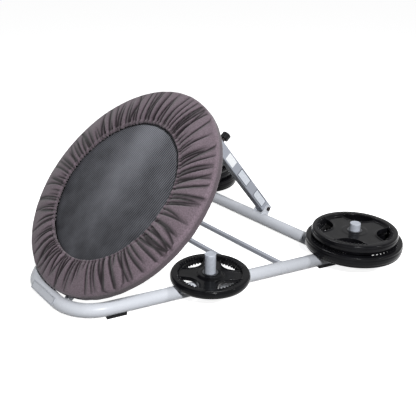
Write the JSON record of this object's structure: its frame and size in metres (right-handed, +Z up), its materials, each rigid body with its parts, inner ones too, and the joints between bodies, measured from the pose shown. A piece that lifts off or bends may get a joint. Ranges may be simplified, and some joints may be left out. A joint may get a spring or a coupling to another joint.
{
  "type": "medicine ball rebounder",
  "caption": "Round sprung mat with a gathered skirt, tilted on a low U-shaped tube base by a telescoping strut with a pull pin, and weighted by grip plates on pegs.",
  "frame": {"origin": "on the floor, at the middle of the footprint", "axes": "+Z up, -Y towards the front bar and the person who throws, +X to that person's right"},
  "size_m": [1.5606, 1.549, 0.7744],
  "materials": {
    "silver_powder_coat": "satin silver powder coat",
    "grey_powder_coat": "satin grey powder coat",
    "bright_steel": "plated, softly polished",
    "spring_steel": "drawn wire",
    "black_steel": "black oxide",
    "nylon": "moulded, dull",
    "black_plastic": "moulded, fine grain",
    "plate_rubber": "moulded, slight sheen",
    "foot_rubber": "moulded, dull",
    "mat_weave": "woven polypropylene, slight sheen",
    "webbing": "woven webbing",
    "elastic_cord": "braided sheath",
    "skirt_fabric": "coated polyester, gathered"
  },
  "bodies": {
    "base": {"base_tube": "silver_powder_coat", "rear_cross_tube": "silver_powder_coat", "front_cross_bar": "grey_powder_coat", "rear_cross_bar": "grey_powder_coat", "front_face_plate": "silver_powder_coat", "left_leg_cap": "black_plastic", "front_left_foot": "foot_rubber", "rear_left_foot": "foot_rubber", "front_left_peg": "bright_steel", "rear_left_peg": "bright_steel", "left_hinge_bracket": "silver_powder_coat", "left_hinge_bolt": "black_steel", "left_hinge_nut": "black_steel", "left_hinge_bush": "nylon", "right_leg_cap": "black_plastic", "front_right_foot": "foot_rubber", "rear_right_foot": "foot_rubber", "front_right_peg": "bright_steel", "rear_right_peg": "bright_steel", "right_hinge_bracket": "silver_powder_coat", "right_hinge_bolt": "black_steel", "right_hinge_nut": "black_steel", "right_hinge_bush": "nylon", "strut_foot_bracket": "silver_powder_coat", "strut_foot_bolt": "black_steel", "strut_foot_nut": "black_steel", "strut_foot_bush": "nylon"},
    "deck": {"rim_ring": "silver_powder_coat", "mat": "mat_weave", "mat_edge_band": "webbing", "lacing_cord": "elastic_cord", "skirt": "skirt_fabric", "skirt_front_elastic": "webbing", "skirt_rear_elastic": "webbing", "left_hinge_lug": "silver_powder_coat", "right_hinge_lug": "silver_powder_coat", "strut_head_bracket": "silver_powder_coat", "strut_head_bolt": "black_steel", "strut_head_nut": "black_steel", "strut_head_bush": "nylon"},
    "strut": {"strut_sleeve": "silver_powder_coat", "sleeve_guide": "black_plastic", "pin_housing": "black_steel", "pin_spring": "spring_steel"},
    "strut_inner": {"inner_tube": "bright_steel", "inner_tube_glide": "nylon"},
    "pin": {"pull_pin": "bright_steel", "pull_knob": "black_plastic"},
    "front_left_load": {"front_left_plate": "plate_rubber", "front_left_plate_hub_ring": "bright_steel"},
    "front_right_load": {"front_right_plate": "plate_rubber", "front_right_plate_hub_ring": "bright_steel"},
    "rear_left_lower_load": {"rear_left_lower_plate": "plate_rubber", "rear_left_lower_plate_hub_ring": "bright_steel"},
    "rear_right_lower_load": {"rear_right_lower_plate": "plate_rubber", "rear_right_lower_plate_hub_ring": "bright_steel"},
    "rear_left_upper_load": {"rear_left_upper_plate": "plate_rubber", "rear_left_upper_plate_hub_ring": "bright_steel"},
    "rear_right_upper_load": {"rear_right_upper_plate": "plate_rubber", "rear_right_upper_plate_hub_ring": "bright_steel"}
  },
  "joints": [
    {"name": "deck_tilt", "type": "hinge", "parent": "base", "child": "deck", "pos_m": [0, -0.66134, 0.06857], "axis": [1, 0, 0], "range_deg": [-12.3, 0]},
    {"name": "strut_pivot", "type": "hinge", "parent": "base", "child": "strut", "pos_m": [0, 0.53048, 0.08624], "axis": [1, 0, 0], "range_deg": [0, 0.6]},
    {"name": "strut_slide", "type": "slide", "parent": "strut", "child": "strut_inner", "axis": [0, -0.6369, 0.7709], "range_m": [-0.2, 0]},
    {"name": "pin_pull", "type": "slide", "parent": "strut", "child": "pin", "axis": [0, 0.7709, 0.6369], "range_m": [0, 0.008], "stiffness_N_per_m": 600, "springref_m": -0.008, "deforming": ["pin_spring"]},
    {"name": "front_left_plate_lift", "type": "slide", "parent": "base", "child": "front_left_load", "axis": [0, 0, 1], "range_m": [0, 0.13]},
    {"name": "rear_left_lower_plate_lift", "type": "slide", "parent": "base", "child": "rear_left_lower_load", "axis": [0, 0, 1], "range_m": [0, 0.13]},
    {"name": "rear_left_upper_plate_lift", "type": "slide", "parent": "rear_left_lower_load", "child": "rear_left_upper_load", "axis": [0, 0, 1], "range_m": [0, 0.08]},
    {"name": "front_right_plate_lift", "type": "slide", "parent": "base", "child": "front_right_load", "axis": [0, 0, 1], "range_m": [0, 0.13]},
    {"name": "rear_right_lower_plate_lift", "type": "slide", "parent": "base", "child": "rear_right_lower_load", "axis": [0, 0, 1], "range_m": [0, 0.13]},
    {"name": "rear_right_upper_plate_lift", "type": "slide", "parent": "rear_right_lower_load", "child": "rear_right_upper_load", "axis": [0, 0, 1], "range_m": [0, 0.08]}
  ],
  "couplings": [
    {"joint": "strut_pivot", "follows": "deck_tilt", "ratio": -0.0337},
    {"joint": "strut_slide", "follows": "deck_tilt", "m_per_rad": 0.9299}
  ]
}
